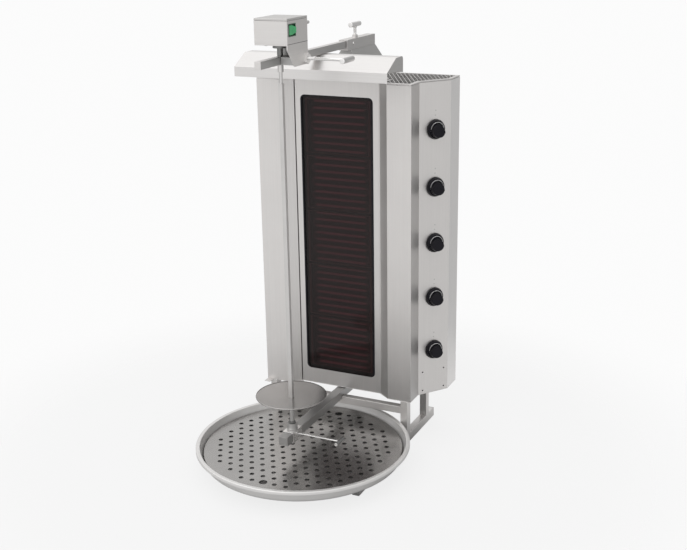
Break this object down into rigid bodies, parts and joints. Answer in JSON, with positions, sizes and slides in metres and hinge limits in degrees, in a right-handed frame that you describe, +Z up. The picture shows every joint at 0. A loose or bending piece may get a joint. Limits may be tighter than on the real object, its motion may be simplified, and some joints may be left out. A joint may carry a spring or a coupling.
{
  "type": "doner kebab grill",
  "caption": "Upright electric doner grill: a glass-fronted heater column on a frame, a motor on a sliding top arm that turns the spit, a foot carriage and a drip tray.",
  "frame": {"origin": "centre of the bounding box's base, on the surface that the floor rails stand on", "axes": "+Z up, -Y towards the cook (the tray and spit side), +X to the side with the control knobs"},
  "size_m": [0.564, 0.744, 1.165],
  "materials": {
    "stainless": "brushed",
    "polished_steel": "polished",
    "galvanised": "matte",
    "black_plastic": "satin",
    "knob_plastic": "satin",
    "green_plastic": "gloss",
    "dark_glass": "gloss",
    "fibre": "matte",
    "ribbon_metal": "matte",
    "wool": "matte",
    "cast_metal": "matte",
    "regulator_plastic": "matte"
  },
  "bodies": {
    "housing": {"base_frame": "stainless", "rail_plugs": "black_plastic", "lower_arm": "stainless", "bottom_plate": "stainless", "back_panel": "stainless", "side_panel_left": "stainless", "side_panel_right": "stainless", "control_panel": "stainless", "column_left": "stainless", "column_right": "stainless", "burner_front": "stainless", "ceramic_glass": "dark_glass", "glass_seal": "fibre", "heater_rails": "galvanised", "heater_trays": "fibre", "heating_ribbons": "ribbon_metal", "insulation_board": "wool", "regulators": "regulator_plastic", "terminal_block": "regulator_plastic", "cable_gland": "black_plastic", "top_plate": "stainless", "panel_screws": "polished_steel", "hood": "stainless", "hood_brackets": "stainless", "sleeve_stand": "stainless", "sleeve": "stainless"},
    "arm": {"top_arm": "stainless"},
    "motor_head": {"motor_bracket": "stainless", "guide_block": "black_plastic", "gear_motor": "cast_metal", "motor_box": "stainless", "motor_lid": "stainless", "motor_gland": "black_plastic", "head_screws": "polished_steel", "switch_housing": "black_plastic"},
    "switch_rocker": {"rocker": "green_plastic"},
    "drive": {"drive_coupling": "cast_metal"},
    "arm_clamp": {"sleeve_screw": "polished_steel"},
    "motor_clamp": {"motor_screw": "polished_steel"},
    "carriage": {"foot_slider": "polished_steel", "foot_cup": "polished_steel", "foot_bush": "black_plastic"},
    "foot_clamp": {"foot_screw": "polished_steel"},
    "spit": {"spit_bar": "polished_steel", "meat_disc": "polished_steel", "disc_collar": "stainless"},
    "tray": {"drip_tray": "stainless"},
    "sieve": {"perforated_plate": "stainless"},
    "control_1": {"knob_1": "knob_plastic", "spindle_1": "polished_steel"},
    "control_2": {"knob_2": "knob_plastic", "spindle_2": "polished_steel"},
    "control_3": {"knob_3": "knob_plastic", "spindle_3": "polished_steel"},
    "control_4": {"knob_4": "knob_plastic", "spindle_4": "polished_steel"},
    "control_5": {"knob_5": "knob_plastic", "spindle_5": "polished_steel"}
  },
  "joints": [
    {"name": "arm_slide", "type": "slide", "parent": "housing", "child": "arm", "axis": [0, 1, 0], "range_m": [0, 0.11]},
    {"name": "foot_slide", "type": "slide", "parent": "housing", "child": "carriage", "axis": [0, 1, 0], "range_m": [0, 0.11]},
    {"name": "motor_lift", "type": "slide", "parent": "arm", "child": "motor_head", "axis": [0, 0, 1], "range_m": [0, 0.04]},
    {"name": "spit_spin", "type": "hinge", "parent": "carriage", "child": "spit", "pos_m": [0, -0.147, 0.219], "axis": [0, 0, 1], "continuous": true},
    {"name": "drive_spin", "type": "hinge", "parent": "motor_head", "child": "drive", "pos_m": [0, -0.147, 1.09], "axis": [0, 0, 1], "continuous": true},
    {"name": "switch_tilt", "type": "hinge", "parent": "motor_head", "child": "switch_rocker", "pos_m": [0.04, -0.166, 1.1385], "axis": [0, 0, 1], "range_deg": [0, 18]},
    {"name": "arm_clamp_turn", "type": "hinge", "parent": "housing", "child": "arm_clamp", "pos_m": [0, 0.27, 1.0755], "axis": [0, 0, 1], "range_deg": [0, 360]},
    {"name": "motor_clamp_turn", "type": "hinge", "parent": "motor_head", "child": "motor_clamp", "pos_m": [0.043, -0.1, 1.0675], "axis": [1, 0, 0], "range_deg": [0, 360]},
    {"name": "foot_clamp_turn", "type": "hinge", "parent": "carriage", "child": "foot_clamp", "pos_m": [0.017, -0.147, 0.115], "axis": [1, 0, 0], "range_deg": [0, 360]},
    {"name": "tray_slide", "type": "slide", "parent": "housing", "child": "tray", "axis": [0, -1, 0], "range_m": [0, 0.45]},
    {"name": "sieve_lift", "type": "slide", "parent": "tray", "child": "sieve", "axis": [0, 0, 1], "range_m": [0, 0.03]},
    {"name": "control_1_turn", "type": "hinge", "parent": "housing", "child": "control_1", "pos_m": [0.24881, 0.21601, 0.858], "axis": [0.8044, -0.5941, 0], "range_deg": [-270, 0]},
    {"name": "control_2_turn", "type": "hinge", "parent": "housing", "child": "control_2", "pos_m": [0.24881, 0.21601, 0.7065], "axis": [0.8044, -0.5941, 0], "range_deg": [-270, 0]},
    {"name": "control_3_turn", "type": "hinge", "parent": "housing", "child": "control_3", "pos_m": [0.24881, 0.21601, 0.555], "axis": [0.8044, -0.5941, 0], "range_deg": [-270, 0]},
    {"name": "control_4_turn", "type": "hinge", "parent": "housing", "child": "control_4", "pos_m": [0.24881, 0.21601, 0.4035], "axis": [0.8044, -0.5941, 0], "range_deg": [-270, 0]},
    {"name": "control_5_turn", "type": "hinge", "parent": "housing", "child": "control_5", "pos_m": [0.24881, 0.21601, 0.252], "axis": [0.8044, -0.5941, 0], "range_deg": [-270, 0]}
  ],
  "couplings": [
    {"joint": "foot_slide", "follows": "arm_slide", "ratio": 1},
    {"joint": "drive_spin", "follows": "spit_spin", "ratio": 1}
  ]
}
